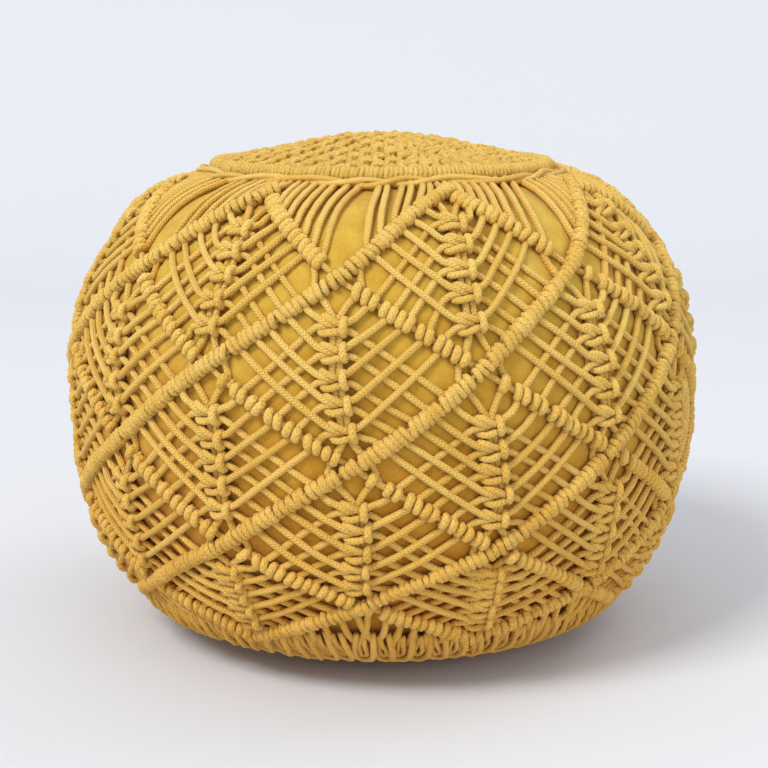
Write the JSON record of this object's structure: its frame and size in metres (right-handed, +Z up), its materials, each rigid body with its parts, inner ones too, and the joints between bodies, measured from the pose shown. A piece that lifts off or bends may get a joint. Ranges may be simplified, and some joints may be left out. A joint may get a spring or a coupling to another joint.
{
  "type": "macrame pouf",
  "caption": "Round filled cotton pouf in a knotted cord net of diagonal hitch bars, diamonds with square knot columns, a ribbed crown ring and a looped base.",
  "frame": {"origin": "centre of the sole, on the surface that the pouf stands on", "axes": "+Z up through the crown's middle; -Y towards the picture's camera"},
  "size_m": [0.4992, 0.4992, 0.3944],
  "materials": {
    "casing": "matte plain weave cotton",
    "cord": "matte braided cotton cord"
  },
  "bodies": {
    "root": {"cushion": "casing", "side_net": "cord", "crown_net": "cord", "crown_ring": "cord", "crown_cord_inner": "cord", "crown_cord_outer": "cord", "base_band": "cord"}
  },
  "joints": []
}
